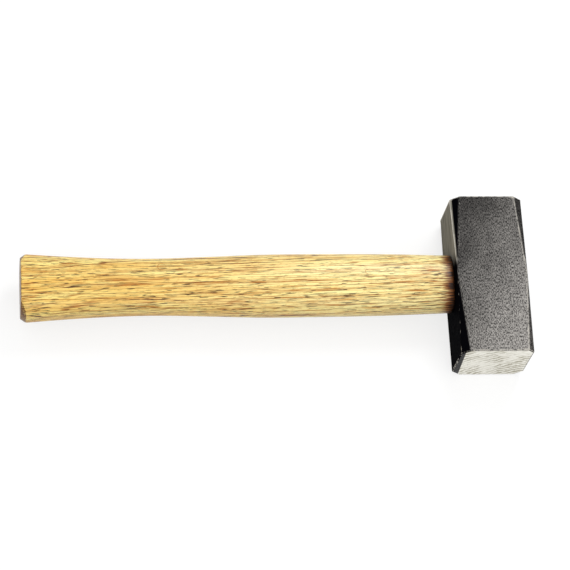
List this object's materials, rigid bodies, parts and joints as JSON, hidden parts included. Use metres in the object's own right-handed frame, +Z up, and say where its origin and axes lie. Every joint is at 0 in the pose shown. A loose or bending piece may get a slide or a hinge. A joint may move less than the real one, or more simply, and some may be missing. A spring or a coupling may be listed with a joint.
{
  "type": "club hammer",
  "caption": "Short-handled club hammer with a square, chamfered, double-faced steel head and a lacquered oval wooden handle, lying on one cheek.",
  "frame": {"origin": "on the floor, in the middle of the head's lower cheek, under the middle of the eye", "axes": "+X along the handle from the butt towards the head, +Y along the head from one striking face to the other, +Z up from the floor, through both cheeks"},
  "size_m": [0.2836, 0.093, 0.04],
  "materials": {
    "black_steel": "black lacquer over forged steel, with its striking faces ground bright",
    "lacquered_wood": "clear lacquer over ash",
    "wedge_wood": "bare beech, sawn flush",
    "wedge_steel": "plain mild steel"
  },
  "bodies": {
    "root": {"head": "black_steel", "handle": "lacquered_wood", "wooden_wedge": "wedge_wood", "steel_wedge_1": "wedge_steel", "steel_wedge_2": "wedge_steel"}
  },
  "joints": []
}
